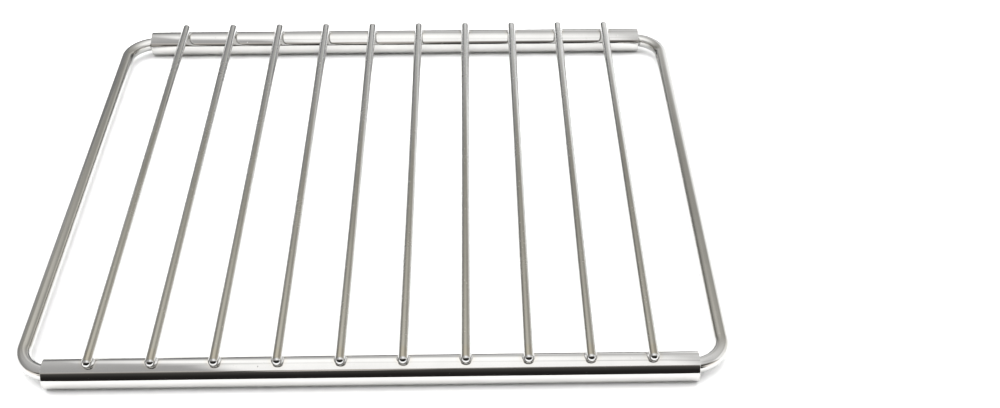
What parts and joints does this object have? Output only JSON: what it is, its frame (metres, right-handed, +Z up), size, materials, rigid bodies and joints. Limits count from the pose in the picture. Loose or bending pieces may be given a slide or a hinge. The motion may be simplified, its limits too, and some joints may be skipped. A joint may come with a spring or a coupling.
{
  "type": "extendable oven shelf",
  "caption": "Chrome-plated wire oven shelf with parallel rods welded on round tube rails, and U-shaped side arms that slide out of the rails to fit the oven's width.",
  "frame": {"origin": "under the middle of the shelf, on the surface that the rails rest on", "axes": "+X along the rails to the right, +Y along the rods to the back, +Z up"},
  "size_m": [0.3536, 0.32, 0.0196],
  "materials": {
    "rail_chrome": "bright chrome plate",
    "rod_chrome": "dull chrome plate",
    "arm_chrome": "chrome plate"
  },
  "bodies": {
    "grid": {"front_rail": "rail_chrome", "rear_rail": "rail_chrome", "rod_01": "rod_chrome", "rod_02": "rod_chrome", "rod_03": "rod_chrome", "rod_04": "rod_chrome", "rod_05": "rod_chrome", "rod_06": "rod_chrome", "rod_07": "rod_chrome", "rod_08": "rod_chrome", "rod_09": "rod_chrome", "rod_10": "rod_chrome"},
    "left_arm": {"left_arm": "arm_chrome"},
    "right_arm": {"right_arm": "arm_chrome"}
  },
  "joints": [
    {"name": "left_arm_slide", "type": "slide", "parent": "grid", "child": "left_arm", "axis": [-1, 0, 0], "range_m": [0, 0.103]},
    {"name": "right_arm_slide", "type": "slide", "parent": "grid", "child": "right_arm", "axis": [1, 0, 0], "range_m": [0, 0.103]}
  ]
}
